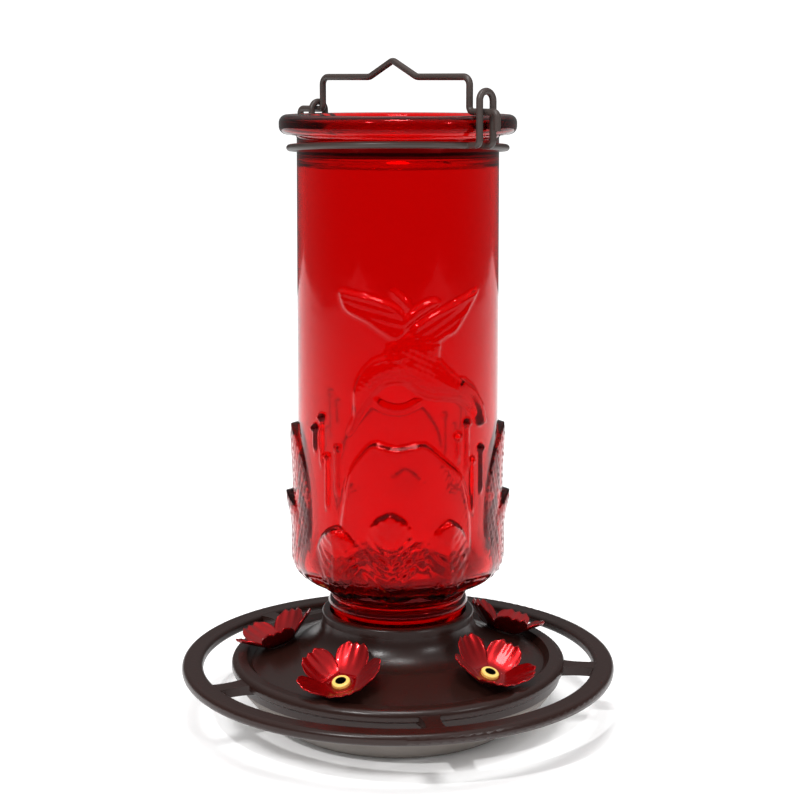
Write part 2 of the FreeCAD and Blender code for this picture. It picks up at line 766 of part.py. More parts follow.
def make_all():
    parts = [make_tray(), make_cover(), make_bottle(), make_collar(), make_bail()]
    parts.append(make_ring("tray_gasket", "tray_wall_radius - tray_wall + gasket_gap",
                           "tray_wall_radius - gasket_gap", "tray_height", CHANNEL_ROOF))
    parts.append(make_ring("bottle_gasket", "mouth_radius + gasket_gap",
                           SOCKET_RADIUS + " - gasket_gap", SOCKET_LEDGE, MOUTH))
    count = round(value("arm_count"))
    for number in range(1, count + 1):
        angle = value("first_port_angle") + 360 * (number - 1) / count
        parts.append(make_port(number, angle))
        parts.append(make_flower(number, angle))
    return parts


def check(parts):
    """Stop on a failed feature or a shape that isn't one sound solid."""
    faults = [item.Label for item in doc.Objects
              if "Invalid" in item.State or "Error" in item.State]
    for part in parts:
        shape = part.Shape
        if shape.isNull() or not shape.isValid() or len(shape.Solids) != 1:
            faults.append(part.Label + " as a solid")
    if faults:
        raise RuntimeError("not sound: " + ", ".join(faults))


parts = make_all()
doc.recompute()
check(parts)
os.makedirs("parts", exist_ok=True)
for part in parts:
    part.Shape.exportStep("parts/%s.step" % part.Label)
    print("%-16s %8.0f mm3" % (part.Label, part.Shape.Volume))
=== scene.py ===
"""Hanging nectar feeder: a red relief bottle over a bronze base with five flower ports."""
import math

import bmesh
import bpy
import numpy as np
from bpy.props import (
    FloatProperty, FloatVectorProperty, IntProperty, PointerProperty,
)
from mathutils import Matrix, Vector, noise


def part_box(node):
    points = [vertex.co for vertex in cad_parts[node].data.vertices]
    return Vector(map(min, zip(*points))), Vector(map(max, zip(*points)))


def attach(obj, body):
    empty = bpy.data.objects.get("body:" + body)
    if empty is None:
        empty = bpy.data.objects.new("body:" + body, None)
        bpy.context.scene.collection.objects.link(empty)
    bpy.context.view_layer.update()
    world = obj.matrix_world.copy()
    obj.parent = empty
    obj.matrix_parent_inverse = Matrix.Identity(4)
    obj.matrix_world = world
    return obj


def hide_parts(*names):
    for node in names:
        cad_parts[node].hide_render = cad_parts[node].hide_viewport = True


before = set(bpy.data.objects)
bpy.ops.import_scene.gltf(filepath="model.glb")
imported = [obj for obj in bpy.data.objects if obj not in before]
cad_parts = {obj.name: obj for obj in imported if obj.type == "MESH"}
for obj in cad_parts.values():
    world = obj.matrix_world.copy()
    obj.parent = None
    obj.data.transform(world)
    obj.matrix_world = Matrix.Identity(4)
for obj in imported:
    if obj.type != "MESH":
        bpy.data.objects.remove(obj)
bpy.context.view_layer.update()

bl_info = {
    "name": "Nectar Feeder",
    "version": (1, 0, 0),
    "blender": (4, 5, 0),
    "location": "View3D > Sidebar > Feeder",
    "description": "Builds a hanging nectar feeder with a relief glass bottle",
    "category": "Add Mesh",
}

MM = 0.001
ARC_STEP = 0.42 * MM


def length(name, description, millimetres):
    return FloatProperty(name=name, description=description, default=millimetres * MM,
                         unit="LENGTH", precision=4)


def colour(name, description, red, green, blue):
    return FloatVectorProperty(name=name, description=description, subtype="COLOR", size=3,
                               min=0.0, max=1.0, default=(red, green, blue))


class FeederGlass(bpy.types.PropertyGroup):
    """Sizes and colour of the bottle."""
    mouth: length("Mouth", "Inside radius of the neck", 23.0)
    finish: length("Finish", "Radius of the neck where it enters the base", 26.5)
    neck: length("Neck", "Radius of the neck above the finish", 27.0)
    low_radius: length("Lower radius", "Radius of the body at the shoulder", 41.0)
    top_radius: length("Upper radius", "Radius of the body under the flange", 40.4)
    wall: length("Wall", "Thickness of the glass", 3.0)
    shoulder: length("Shoulder", "Height of the shoulder", 60.8)
    shoulder_round: length("Shoulder round", "Rounding of the shoulder", 10.0)
    flange_foot: length("Flange foot", "Height of the flange's underside", 241.7)
    flange: length("Flange", "Radius of the flange", 47.5)
    recess: length("Recess", "Radius of the hollow in the closed end", 36.5)
    recess_depth: length("Recess depth", "Depth of that hollow", 10.5)
    end_wall: length("End wall", "Glass under the hollow", 5.5)
    row: length("Row", "Height of one row of faces in the relief", 0.68)
    segments: IntProperty(name="Segments", description="Faces round the bottle",
                          default=308, min=48, max=720)
    tint: colour("Tint", "Colour of the glass", 0.73, 0.008, 0.010)


class FeederFlowers(bpy.types.PropertyGroup):
    """Sizes and colour of the flowers and ports."""
    count: IntProperty(name="Flowers", description="Number of flowers", default=5, min=1, max=8)
    petals: IntProperty(name="Petals", description="Petals of a flower", default=5, min=3, max=8)
    reach: length("Reach", "Distance of a flower from the axis", 50.2)
    seat: length("Seat", "Height of a flower's seat", 29.135)
    tilt: FloatProperty(name="Tilt", description="Slope of the dome at a flower", unit="ROTATION",
                        default=math.radians(20.4223))
    first: FloatProperty(name="First", description="Direction of the first flower",
                         unit="ROTATION", default=math.radians(-116.0))
    radius: length("Radius", "Radius of a flower", 16.6)
    rise: length("Rise", "Height of a flower's cup", 8.0)
    hole: length("Hole", "Radius of the hole in the middle", 3.05)
    sheet: length("Sheet", "Thickness of a petal", 0.7)
    red: colour("Red", "Colour of the petals", 0.33, 0.002, 0.004)
    yellow: colour("Yellow", "Colour of the ports", 0.72, 0.50, 0.12)


class FeederBase(bpy.types.PropertyGroup):
    """Colours of the base and the wire."""
    bronze: colour("Bronze", "Colour of the cover", 0.015, 0.0048, 0.0034)
    grey: colour("Grey brown", "Colour of the tray", 0.15, 0.128, 0.113)
    wire: colour("Wire", "Colour of the wire", 0.034, 0.024, 0.021)
    rubber: colour("Rubber", "Colour of the gaskets", 0.02, 0.02, 0.02)


class FeederStage(bpy.types.PropertyGroup):
    """Floor, lights and camera."""
    distance: length("Distance", "Camera's distance in front of the axis", 686.1)
    height: length("Height", "Camera's height", 263.1)
    tilt: FloatProperty(name="Tilt", description="Camera's downward tilt", unit="ROTATION",
                        default=math.radians(8.0))
    lens: FloatProperty(name="Lens", description="Focal length", unit="CAMERA", default=76.9)
    floor: colour("Floor", "Colour of the floor", 0.95, 0.95, 0.95)
    sky: FloatProperty(name="Sky", description="Brightness of the white room behind the glass",
                       default=1.14, min=0.0)
    walls: FloatProperty(name="Walls", description="Brightness that the finish mirrors sideways",
                         default=0.16, min=0.0)
    ceiling: FloatProperty(name="Ceiling", description="Brightness that the finish mirrors above",
                           default=0.85, min=0.0)


# Materials.


class Value:
    """A socket in a material that can be used in sums, so that shader maths reads as maths."""

    def __init__(self, look, socket):
        self.look = look
        self.socket = socket

    def _math(self, operation, *values):
        return self.look.node("ShaderNodeMath", {"operation": operation},
                              dict(enumerate(values)))

    def __add__(self, other):
        return self._math("ADD", self, other)

    def __radd__(self, other):
        return self._math("ADD", other, self)

    def __mul__(self, other):
        return self._math("MULTIPLY", self, other)

    def __rmul__(self, other):
        return self._math("MULTIPLY", other, self)

    def between(self, low, high):
        """0 below low, 1 above high, and even in between."""
        return self.look.node("ShaderNodeMapRange", {},
                              {"Value": self, "From Min": low, "From Max": high})


class Look:
    """A material with one Principled shader."""

    def __init__(self, name, **constants):
        self.material = bpy.data.materials.new(name)
        self.material.use_nodes = True
        self.tree = self.material.node_tree
        self.shader = self.tree.nodes["Principled BSDF"]
        for socket, value in constants.items():
            self.shader.inputs[socket.replace("_", " ")].default_value = value

    def node(self, kind, settings, inputs, output=0):
        """Adds a node: settings are set before its sockets get their values or links."""
        made = self.tree.nodes.new(kind)
        for name, setting in settings.items():
            setattr(made, name, setting)
        for name, value in inputs.items():
            if isinstance(value, Value):
                self.tree.links.new(value.socket, made.inputs[name])
            else:
                made.inputs[name].default_value = value
        return Value(self, made.outputs[output])

    def place(self):
        """Where a point is on the object, in metres."""
        return self.node("ShaderNodeTexCoord", {}, {}, "Object")

    def grain(self, scale, detail=3.0):
        """Cloudy pattern with so many clouds a metre."""
        return self.node("ShaderNodeTexNoise", {}, {"Vector": self.place(), "Scale": scale,
                         "Detail": detail, "Roughness": 0.55}, "Fac")

    def mixed(self, first, second, share):
        """A colour between two colours."""
        made = self.tree.nodes.new("ShaderNodeMix")
        made.data_type = "RGBA"
        for index, value in ((0, share), (6, first), (7, second)):
            if isinstance(value, Value):
                self.tree.links.new(value.socket, made.inputs[index])
            elif index:
                made.inputs[index].default_value = (*value, 1.0)
            else:
                made.inputs[index].default_value = value
        return Value(self, made.outputs[2])

    def bumped(self, height, distance, strength):
        """Lets the light see a fine unevenness of the given depth in metres."""
        bump = self.node("ShaderNodeBump", {}, {"Height": height, "Distance": distance,
                         "Strength": strength}, "Normal")
        self.feed("Normal", bump)

    def feed(self, socket, value):
        self.tree.links.new(value.socket, self.shader.inputs[socket])


def shade(tint, factor):
    """A colour made darker or lighter."""
    return tuple(min(1.0, part * factor) for part in tint)


def glass_look(tint):
    """Red glass: a little hazy and wavy from the mould, and darker where it is thick."""
    look = Look("relief_glass", Base_Color=(*tint, 1.0), Transmission_Weight=1.0, IOR=1.5,
                Specular_Tint=(1.0, 0.03, 0.04, 1.0), Coat_Weight=0.09, Coat_Roughness=0.02,
                Coat_IOR=1.45)
    haze = look.grain(160.0)
    look.feed("Roughness", 0.07 + 0.04 * haze)
    waves = look.grain(38.0, 2.0)
    look.bumped(waves, distance=0.6 * MM, strength=0.35)
    kept_per_mm = (0.972, 0.0, 0.0, 1.0)
    body = look.node("ShaderNodeVolumeAbsorption", {},
                     {"Color": kept_per_mm, "Density": 1.0 / MM})
    output = look.tree.nodes["Material Output"]
    look.tree.links.new(body.socket, output.inputs["Volume"])
    return look.material


def satin_look(name, tint, roughness, coarseness=1.0):
    """Powder-coated finish: a fine orange peel, a soft mottle and a slightly worn sheen."""
    look = Look(name, Specular_IOR_Level=0.33)
    mottle = look.grain(22.0, 4.0)
    dust = look.grain(1400.0, 2.0)
    look.feed("Base Color", look.mixed(shade(tint, 0.86), shade(tint, 1.16), mottle))
    look.feed("Roughness", roughness - 0.05 + 0.10 * mottle + 0.04 * dust)
    peel = look.grain(900.0, 3.0) + 0.35 * dust
    look.bumped(peel, distance=0.06 * MM * coarseness, strength=0.6)
    return look.material


def petal_look(tint):
    """Metallic red lacquer that is glossier in some places than in others."""
    look = Look("petal_red", Metallic=0.85, Coat_Roughness=0.05, Coat_IOR=1.4)
    cloud = look.grain(60.0, 3.0)
    look.feed("Base Color", look.mixed(shade(tint, 0.7), shade(tint, 1.25), cloud))
    wear = look.grain(240.0)
    look.feed("Roughness", 0.24 + 0.12 * wear)
    look.feed("Coat Weight", 0.25 + 0.3 * cloud)
    sags = look.grain(420.0, 2.0)
    look.bumped(sags, distance=0.1 * MM, strength=0.5)
    return look.material


def port_look(number, tint, middle, axis):
    """Yellow moulding with painted shade at its hole: the colour turns near-black within about
    2.2 mm of the port's axis, standing for the shadow inside the hole.
    """
    look = Look("port_yellow_%d" % number, Specular_IOR_Level=0.5)
    cloud = look.grain(300.0, 2.0)
    from_middle = look.node("ShaderNodeVectorMath", {"operation": "SUBTRACT"},
                            {0: look.place(), 1: middle})
    beside = look.node("ShaderNodeVectorMath", {"operation": "CROSS_PRODUCT"},
                       {0: from_middle, 1: axis})
    away = look.node("ShaderNodeVectorMath", {"operation": "LENGTH"}, {0: beside}, "Value")
    moulded = look.mixed(shade(tint, 0.85), shade(tint, 1.08), cloud)
    # Painted shade: a near-black colour stands for the shadow inside the hole, blended in between
    # 2.05 and 2.35 mm from the axis.
    painted_hole_shade = (0.004, 0.003, 0.002)
    look.feed("Base Color", look.mixed(painted_hole_shade, moulded, away.between(2.05 * MM, 2.35 * MM)))
    look.feed("Roughness", 0.28 + 0.10 * cloud)
    skin = look.grain(1500.0, 2.0)
    look.bumped(skin, distance=0.04 * MM, strength=0.5)
    return look.material


# Mesh helpers.


def finished(mesh, name, body, slot, material, *nodes):
    """Turns a bmesh into a piece that rides on a body in place of CAD nodes."""
    data = bpy.data.meshes.new(name)
    mesh.to_mesh(data)
    mesh.free()
    data.shade_smooth()
    piece = bpy.data.objects.new(name, data)
    bpy.context.scene.collection.objects.link(piece)
    data.materials.append(material)
    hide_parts(*nodes)
    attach(piece, body)


def repaint(node, material):
    """Gives a CAD node that stays a finished material."""
    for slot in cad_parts[node].material_slots:
        slot.material = material


def profile(mesh, corners):
    """Chain of edges in the XZ plane through (radius, height, rounding) corners."""
    verts = [mesh.verts.new((radius, 0.0, height)) for radius, height, _ in corners]
    for first, second in zip(verts, verts[1:]):
        mesh.edges.new((first, second))
    for vert, (_, _, rounding) in zip(verts, corners):
        if rounding:
            bmesh.ops.bevel(mesh, geom=[vert], offset=rounding, offset_type="OFFSET",
                            segments=max(4, round(rounding / ARC_STEP)), profile=0.5,
                            affect="VERTICES", material=-1)


def joined(mesh, part):
    """Adds another bmesh to this one and frees it."""
    data = bpy.data.meshes.new("part")
    part.to_mesh(data)
    part.free()
    mesh.from_mesh(data)
    bpy.data.meshes.remove(data)


def turned(mesh, segments):
    """Spins everything in the mesh round the Z axis into a closed shell."""
    geometry = mesh.verts[:] + mesh.edges[:]
    bmesh.ops.spin(mesh, geom=geometry, cent=(0, 0, 0), axis=(0, 0, 1), dvec=(0, 0, 0),
                   angle=2 * math.pi, steps=segments, use_merge=True, use_duplicate=False)
    bmesh.ops.remove_doubles(mesh, verts=mesh.verts[:], dist=1e-6)
    bmesh.ops.recalc_face_normals(mesh, faces=mesh.faces[:])


# Relief on the glass.

# Outlines on the unrolled glass in millimetres: across from the middle, above the shoulder.
UPPER_LEAF = [(-28, 6), (-28, 26), (-26, 39), (-23.5, 52), (-17.5, 60), (-13.5, 64), (-10, 63.2),
              (-5, 61.6), (-0.5, 62.3), (3, 63), (6.5, 63.4), (9, 61.8), (12.5, 58.6),
              (16.5, 55), (20.5, 52), (23, 48.8), (25.3, 42), (27.3, 34.7), (28, 26), (28, 6)]
# Angles round the glass in degrees, from its front.
UPPER_LEAVES = (5.0, 185.0)
# Angle, height and half width of a leaf.
SIDE_LEAVES = ((-88.0, 64.2, 22.0), (92.0, 64.2, 25.0))
LOWER_LEAVES = ((-88, 36.4, 20.0), (-35, 28.5, 13.0), (-4, 36.2, 14.0), (28, 32.0, 11.5),
                (90, 36.4, 21.5), (140, 30.0, 10.5), (175, 36.2, 13.0), (210, 30.0, 10.5))
# How far a leaf stands out at its foot and at its tip.
SIDE_STAND = (1.9, 2.9)
LOWER_STAND = (2.5, 5.0)
# A leaf with a half width above this has a thin edge and long feathers.
BROAD = 16.0
# Slope, spacing and width of the veins.
LONG_FEATHERS = (3.4, 9.0, 0.9)
SHORT_FEATHERS = (1.1, 4.4, 1.0)
FINE_VEINS = (1.8, 4.2, 0.6)
# A leaf starts this far below the shoulder, and is widest at this share of its height.
LEAF_FOOT = 8.0
BELLY = 0.42
# A lower leaf covers what is behind it where it stands out more than this.
IN_FRONT = 1.2
# Angle from the middle of its group, foot, top and radius of a bud.
BUDS = ((-8.6, 55, 66.3, 1.65), (-2.4, 50, 71.2, 1.75), (1.8, 33, 55.8, 1.35),
        (9.3, 40, 60.0, 1.55))
# Angle and lift of a group of buds.
BUD_GROUPS = ((-44.5, 0.0), (43.5, -1.6), (140.0, 0.0), (230.0, 0.0))
# Half width of a bud's stem.
STEM = 0.8
BIRD_BODY = [(-26.6, 64.6), (-22.6, 70.5), (-19.0, 76.5), (-16.0, 80.6), (-12.6, 84.6),
             (-10, 86.6), (-4.6, 87.4), (-1.5, 85.4), (2.1, 82.1), (8.6, 80.1), (14.3, 79.6),
             (20.0, 78.4), (24.6, 75.2), (27.2, 71.0), (29.6, 66.8), (33.2, 68.6),
             (33.6, 73.0), (31, 77.6), (26.4, 83.0), (22.6, 85.6), (17.6, 89.0),
             (14.2, 92), (11, 95), (11, 99), (11.8, 103), (5, 105.5), (-0.5, 107),
             (-6, 105), (-9.6, 102), (-10, 98), (-14.9, 96.4), (-19.2, 92.8),
             (-22.2, 88), (-23.8, 82.6), (-23.6, 77.6), (-23.4, 74.0), (-25.0, 70.4)]
LEFT_WING = [(-30.2, 123.3), (-24.2, 122), (-17, 120.8), (-12.3, 119.6), (-8.7, 118.3),
             (-4, 116), (-1.4, 111), (-2.6, 105), (-7, 102.9), (-10.2, 104.8), (-13.9, 107.1),
             (-17, 109.6), (-21.4, 111.5), (-26.8, 113.8), (-29.2, 117.9)]
LEFT_FEATHER = [(-9.2, 124.0), (-5.1, 122.0), (-0.8, 117.8), (-1.2, 113.0), (-4.0, 116.0)]
RIGHT_WING = [(31.2, 123.1), (22.3, 120.1), (15.3, 117), (7.9, 114.1), (-0.5, 109.2),
              (-1, 104), (4, 101.8), (10.2, 101.6), (14.2, 104.4), (17.2, 105),
              (20.4, 108.4), (23.7, 112.9), (27.7, 118)]
RIGHT_FEATHER = [(8.2, 120.0), (2.1, 117.2), (-1.5, 114.6), (-4.6, 110.3), (-3.2, 107.6),
                 (0.6, 111.0), (6.4, 114.8), (11.5, 117.2)]
TAIL = [(21, 85.2), (26.2, 81.4), (30.0, 75.6), (31.6, 69.8)]
SPINE = [(-0.3, 107), (-0.9, 95.5)]
CHEST = [(-15.5, 81), (-12.3, 77.8), (-6.7, 76.2), (-2, 77), (2.6, 79.9)]
CREST = [(-15.5, 95.2), (-12.2, 96.2), (-8.6, 96.0), (-4.6, 96.8)]
# Outline of a wing, and the direction in degrees and the spacing of its quills.
WINGS = ((RIGHT_WING, 31.0, 3.3), (LEFT_WING, 166.0, 3.4))
# Angle of the bird's middle, in degrees from the front.
BIRD_ANGLE = 8.0
# Glass that fills the gaps between the leaves' feet.
SKIRT = 1.7
# No relief stands higher than this above the shoulder.
RELIEF_TOP = 126


def softened(points, closed=True, passes=2):
    """Cuts the corners of an outline until it looks drawn by hand."""
    for _ in range(passes):
        ends = points[1:] + points[:1] if closed else points[1:]
        cut = []
        for (ax, ay), (bx, by) in zip(points, ends):
            cut += [(ax * 0.75 + bx * 0.25, ay * 0.75 + by * 0.25),
                    (ax * 0.25 + bx * 0.75, ay * 0.25 + by * 0.75)]
        points = cut if closed else [points[0]] + cut[1:-1] + [points[-1]]
    return points


def line_distance(points, x, y, closed):
    """Distance of every grid point from a drawn line."""
    nearest = np.full(x.shape, 1e6)
    ends = points[1:] + points[:1] if closed else points[1:]
    for (ax, ay), (bx, by) in zip(points, ends):
        dx, dy = bx - ax, by - ay
        along = np.clip(((x - ax) * dx + (y - ay) * dy) / (dx * dx + dy * dy), 0.0, 1.0)
        nearest = np.minimum(nearest, np.hypot(x - ax - along * dx, y - ay - along * dy))
    return nearest


def depth_inside(points, x, y):
    """Distance from an outline, positive inside it."""
    inside = np.zeros(x.shape, dtype=bool)
    for (ax, ay), (bx, by) in zip(points, points[1:] + points[:1]):
        crosses = (ay > y) != (by > y)
        span = by - ay if by != ay else 1e-9
        inside ^= crosses & (x < (bx - ax) * (y - ay) / span + ax)
    distance = line_distance(points, x, y, closed=True)
    return np.where(inside, distance, -distance)


def step(value, low, high):
    """Smooth step from 0 to 1."""
    t = np.clip((value - low) / (high - low), 0.0, 1.0)
    return t * t * (3 - 2 * t)


def across(angle, middle, radius):
    """Distance round the glass from a leaf's middle, in millimetres."""
    turn = (angle - middle + 180.0) % 360.0 - 180.0
    return np.radians(turn) * radius


def plate_within(depth, plate, rim):
    """A plate with a rounded edge and a slightly raised rim, and nothing outside its outline."""
    ridge = np.exp(-((depth - 1.3) / 0.8) ** 2)
    raised = step(depth, -0.45, 1.25) * (plate + rim * ridge)
    return np.where(depth > -0.5, raised, 0.0)


def veins(x, z, slope, spacing, width):
    """Thin ridges that run up and out from a leaf's middle."""
    over = (z - slope * np.abs(x) + 0.5 * np.sin(x * 0.9)) / spacing
    off = np.abs(over - np.round(over)) * spacing
    return np.exp(-(off / width) ** 2)


def blunt_leaf(x, z, height, width, low, high):
    """Blunt swelling leaf that leans out from low to high at its tip, with feather veins."""
    broad = width > BROAD
    up = np.clip((z + LEAF_FOOT) / (height + LEAF_FOOT), 0.0, 1.0)
    above = np.clip((up - BELLY) / (1.0 - BELLY), 0.0, 1.0)
    below = np.clip((BELLY - up) / BELLY, 0.0, 1.0)
    half = width * (1.0 - above ** 2.8) ** 0.6 * (1.0 - 0.22 * below ** 2)
    depth = np.where(z < height, half - np.abs(x), -2.0) * (1.0 - 0.30 * above)
    stand = low + (high - low) * step(z, 0.55 * height, height) ** 1.3
    edge, rim = (0.45, 0.0) if broad else (0.4 + 0.8 * step(up, 0.74, 1.0), 0.20)
    crown = np.clip(1.0 - (x / np.maximum(half, 0.1)) ** 2, 0.0, 1.0) ** 1.2
    inside = step(depth, 0.5, 2.5)
    ribs = veins(x, z, *(LONG_FEATHERS if broad else SHORT_FEATHERS))
    lines = (0.45 if broad else 0.42) * ribs * inside * step(np.abs(x), 0.3, 1.4)
    lines = lines * (0.6 + 0.4 * np.sin(x * 1.3 + z * 0.7))
    middle = 0.45 * np.exp(-(x / 0.8) ** 2) * step(height - z, 1.0, 6.0)
    plate = edge + (stand - edge) * crown + lines + middle
    return plate_within(depth, plate, rim)


def upper_leaf(x, z):
    """Broad leaf behind the lower ones, with fine veins."""
    depth = depth_inside(softened(UPPER_LEAF), x, z)
    up = np.clip(z / 62.0, 0.0, 1.0)
    crown = np.clip(1.0 - (x / 28.5) ** 2, 0.0, 1.0) ** 0.6
    inside = step(depth, 0.8, 3.0)
    lines = 0.24 * veins(x, z, *FINE_VEINS) * inside * step(np.abs(x), 2.0, 7.0)
    lines = lines * (0.65 + 0.35 * np.sin(x * 0.5 - z * 0.31))
    plate = 0.6 + (0.9 + 1.2 * up ** 2.0) * crown + lines
    return plate_within(depth, plate, 0.30 * up)


def bud(x, z, foot, top, size):
    """Stem with a round bud at its top."""
    stem = np.sqrt(np.clip(STEM ** 2 - x ** 2, 0.0, None)) * 1.7
    stem = np.where((z > foot) & (z < top), stem * step(z, foot, foot + 5.0), 0.0)
    ball = size ** 2 - x ** 2 - (z - top) ** 2
    return np.maximum(stem, np.sqrt(np.clip(ball, 0.0, None)) * 1.45)


def quills(x, z, direction, spacing):
    """Feather lines that run along a wing."""
    turn = math.radians(direction)
    over = (x * math.sin(turn) - z * math.cos(turn)) / spacing
    off = np.abs(over - np.round(over)) * spacing
    return np.exp(-(off / 0.5) ** 2)


def ridge_along(points, x, z, width):
    """Rounded ridge that follows a drawn line."""
    away = line_distance(softened(points, closed=False), x, z, closed=False)
    return np.exp(-(away / width) ** 2)


def bird(x, z):
    """Hovering bird with its wings up, its bill to the lower left and a bent tail."""
    body = depth_inside(softened(BIRD_BODY), x, z)
    plumage = 0.13 * np.cos(x * 1.9 + z * 0.8) * np.cos(z * 1.7 - x * 0.6)
    pillow = 1.0 + 0.9 * step(body, 0.0, 6.0) + plumage * step(body, 1.2, 3.0)
    raised = plate_within(body, pillow, 0.25)
    for outline, direction, spacing in WINGS:
        depth = depth_inside(softened(outline), x, z)
        lines = 0.22 * quills(x, z, direction, spacing) * step(depth, 0.4, 1.6)
        raised = np.maximum(raised, plate_within(depth, 1.05 + lines, 0.40))
    for outline in (RIGHT_FEATHER, LEFT_FEATHER):
        depth = depth_inside(softened(outline), x, z)
        raised = np.maximum(raised, plate_within(depth, 1.35, 0.35))
    tail = line_distance(TAIL, x, z, closed=False)
    raised = np.maximum(raised, 2.6 * step(2.7 - tail, 0.0, 1.5))
    bumps = 0.5 + 0.5 * np.cos(x * 2.6)
    raised = raised + 0.55 * ridge_along(CREST, x, z, 0.8) * bumps
    raised = raised - 0.35 * ridge_along(SPINE, x, z, 0.6)
    return np.maximum(raised, 0.45 * ridge_along(CHEST, x, z, 1.3))


def relief(angle, z, radius):
    """How far the glass stands out, in millimetres, at an angle and height above the shoulder."""
    out = np.zeros(angle.shape)
    for middle in UPPER_LEAVES:
        out = np.maximum(out, upper_leaf(across(angle, middle, radius), z))
    for middle, height, width in SIDE_LEAVES:
        leaf = blunt_leaf(across(angle, middle, radius), z, height, width, *SIDE_STAND)
        out = np.maximum(out, leaf)
    for middle, lift in BUD_GROUPS:
        for turn, foot, top, size in BUDS:
            x = across(angle, middle + turn, radius)
            out = np.maximum(out, bud(x, z - lift, foot, top, size))
    for middle, height, width in LOWER_LEAVES:
        leaf = blunt_leaf(across(angle, middle, radius), z, height, width, *LOWER_STAND)
        out = np.where(leaf > IN_FRONT, leaf, np.maximum(out, leaf))
    skirt = SKIRT * step(z, -3.5, 2.0) * (1.0 - step(z, 9.0, 26.0))
    out = np.maximum(out, skirt)
    return np.maximum(out, bird(across(angle, BIRD_ANGLE, radius), z))


def glass_section(size):
    """Half section of the bottle, from the mouth up the outside and down to the inner neck."""
    mouth_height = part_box("bottle")[0].z
    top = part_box("bottle")[1].z
    finish_top = mouth_height + 11.6 * MM
    bead_top = finish_top + 5.6 * MM
    ring_top = bead_top + 2.8 * MM
    bead = size.neck + 1.7 * MM
    ring = size.neck + 1.3 * MM
    floor = top - size.recess_depth
    ceiling = floor - size.end_wall
    inner_low = size.low_radius - size.wall
    inner_top = size.top_radius - size.wall
    return [
        (size.mouth, mouth_height, 0.8 * MM),
        (size.finish, mouth_height, 0.8 * MM),
        (size.finish, finish_top, 0.2 * MM),
        (size.neck, finish_top, 0.3 * MM),
        (bead, finish_top + 1.4 * MM, 1.3 * MM),
        (bead, bead_top - 1.4 * MM, 1.3 * MM),
        (size.neck + 0.1 * MM, bead_top, 0.5 * MM),
        (ring, bead_top + 1.0 * MM, 0.7 * MM),
        (ring, ring_top - 1.0 * MM, 0.7 * MM),
        (size.neck, ring_top, 0.6 * MM),
        (size.neck, size.shoulder, 1.8 * MM),
        (size.low_radius, size.shoulder, size.shoulder_round),
        (size.top_radius, size.flange_foot, 1.6 * MM),
        (size.flange, size.flange_foot, 3.2 * MM),
        (size.flange, top, 3.2 * MM),
        (size.recess, top, 1.6 * MM),
        (size.recess - size.recess_depth / 3, floor, 2.0 * MM),
        (0.0, floor, 0.0),
        (0.0, ceiling, 0.0),
        (inner_top, ceiling, 5.0 * MM),
        (inner_low, size.shoulder + size.wall, 6.5 * MM),
        (size.mouth, size.shoulder + size.wall, 2.0 * MM),
    ]


class FEEDER_OT_bottle(bpy.types.Operator):
    """Blow the bottle and press its leaves, buds and hovering bird into the glass"""
    bl_idname = "feeder.bottle"
    bl_label = "Glass bottle"

    def execute(self, context):
        size = context.scene.feeder_glass
        mesh = bmesh.new()
        profile(mesh, glass_section(size))
        wall = max(mesh.edges, key=lambda edge: edge.calc_length())
        self.divide_wall(mesh, wall, size)
        self.close_section(mesh)
        turned(mesh, size.segments)
        self.press(mesh, size)
        finished(mesh, "relief_bottle", "glass_bottle", "glass", glass_look(tuple(size.tint)),
                 "bottle")
        return {"FINISHED"}

    def divide_wall(self, mesh, wall, size):
        """Fine rows where the relief stands, wide ones above it."""
        low, high = sorted(wall.verts, key=lambda vert: vert.co.z)
        relief_top = size.shoulder + RELIEF_TOP * MM
        share = (relief_top - low.co.z) / (high.co.z - low.co.z)
        middle = bmesh.utils.edge_split(wall, low, share)[1]
        fine = next(edge for edge in middle.link_edges if low in edge.verts)
        coarse = next(edge for edge in middle.link_edges if high in edge.verts)
        rows = int((relief_top - low.co.z) / size.row)
        cuts = rows
        bmesh.ops.subdivide_edges(mesh, edges=[fine], cuts=cuts)
        bmesh.ops.subdivide_edges(mesh, edges=[coarse], cuts=6)

    def close_section(self, mesh):
        """Joins the two open ends of the section at the mouth."""
        ends = [vert for vert in mesh.verts if len(vert.link_edges) == 1]
        mesh.edges.new(ends)

    def press(self, mesh, size):
        """Moves the outside of the wall and the shoulder out by the height of the relief."""
        axis = size.low_radius - size.shoulder_round
        bend = size.shoulder + size.shoulder_round
        places = np.array([vert.co for vert in mesh.verts])
        round_ = np.hypot(places[:, 0], places[:, 1])
        drop = np.minimum(places[:, 2] - bend, 0.0)
        depth = np.hypot(np.maximum(round_ - axis, 0.0), drop)
        outside = (depth > size.shoulder_round - size.wall / 2) & (round_ > axis - 0.1 * MM)
        reached = (places[:, 2] > size.shoulder - 0.1 * MM) \
            & (places[:, 2] < size.shoulder + (RELIEF_TOP + 1) * MM)
        chosen = np.flatnonzero(outside & reached)
        places, round_, drop = places[chosen], round_[chosen], drop[chosen]
        angle = np.degrees(np.arctan2(places[:, 1], places[:, 0])) + 90.0
        slant = np.arctan2(-drop, round_ - axis)
        above = np.where(drop < 0.0, size.shoulder_round * (1.0 - slant),
                         places[:, 2] - size.shoulder) / MM
        out = relief(angle, above, size.low_radius / MM) * MM
        mesh.verts.ensure_lookup_table()
        for index, push, lean in zip(chosen, out, slant):
            vert = mesh.verts[index]
            outward = Vector((vert.co.x, vert.co.y, 0.0)).normalized() * math.cos(lean)
            outward.z = -math.sin(lean)
            vert.co += outward * float(push)


# Flowers and ports.

# Radius and height of the washer that joins the petals, in millimetres.
WASHER = 5.6
WASHER_HEIGHT = 0.8


